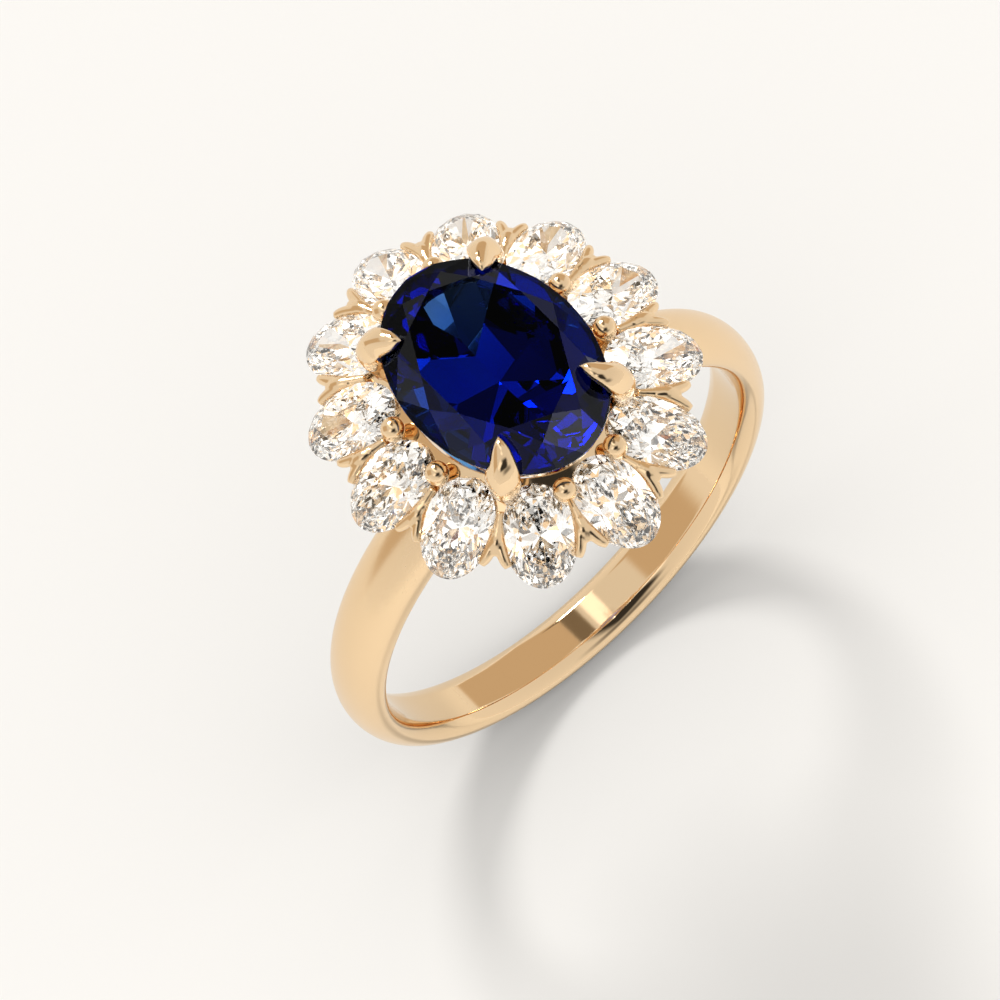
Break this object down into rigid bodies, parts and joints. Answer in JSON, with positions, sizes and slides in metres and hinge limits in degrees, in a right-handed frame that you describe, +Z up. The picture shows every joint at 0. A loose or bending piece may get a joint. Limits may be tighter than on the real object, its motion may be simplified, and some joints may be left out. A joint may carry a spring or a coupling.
{
  "type": "engagement ring",
  "caption": "Cluster engagement ring: an oval blue stone in four talon claws inside an oval halo of white stones, raised on a plain gold band.",
  "frame": {"origin": "centre of the finger hole", "axes": "+Y along the finger, +X from shoulder to shoulder, +Z up through the head"},
  "size_m": [0.019, 0.0148, 0.0241],
  "materials": {
    "yellow_gold": "high polish",
    "blue_gem": "faceted and polished",
    "white_gem": "faceted and polished"
  },
  "bodies": {
    "root": {"band": "yellow_gold", "bead_prong_01": "yellow_gold", "bead_prong_03": "yellow_gold", "bead_prong_04": "yellow_gold", "bead_prong_06": "yellow_gold", "bead_prong_07": "yellow_gold", "bead_prong_09": "yellow_gold", "bead_prong_10": "yellow_gold", "bead_prong_12": "yellow_gold", "centre_collet": "yellow_gold", "centre_stone": "blue_gem", "claw_back_left": "yellow_gold", "claw_back_right": "yellow_gold", "claw_front_left": "yellow_gold", "claw_front_right": "yellow_gold", "collar": "yellow_gold", "fishtail_prong_01": "yellow_gold", "fishtail_prong_02": "yellow_gold", "fishtail_prong_03": "yellow_gold", "fishtail_prong_04": "yellow_gold", "fishtail_prong_05": "yellow_gold", "fishtail_prong_06": "yellow_gold", "fishtail_prong_07": "yellow_gold", "fishtail_prong_08": "yellow_gold", "fishtail_prong_09": "yellow_gold", "fishtail_prong_10": "yellow_gold", "fishtail_prong_11": "yellow_gold", "fishtail_prong_12": "yellow_gold", "halo_gallery": "yellow_gold", "halo_stone_01": "white_gem", "halo_stone_02": "white_gem", "halo_stone_03": "white_gem", "halo_stone_04": "white_gem", "halo_stone_05": "white_gem", "halo_stone_06": "white_gem", "halo_stone_07": "white_gem", "halo_stone_08": "white_gem", "halo_stone_09": "white_gem", "halo_stone_10": "white_gem", "halo_stone_11": "white_gem", "halo_stone_12": "white_gem"}
  },
  "joints": []
}
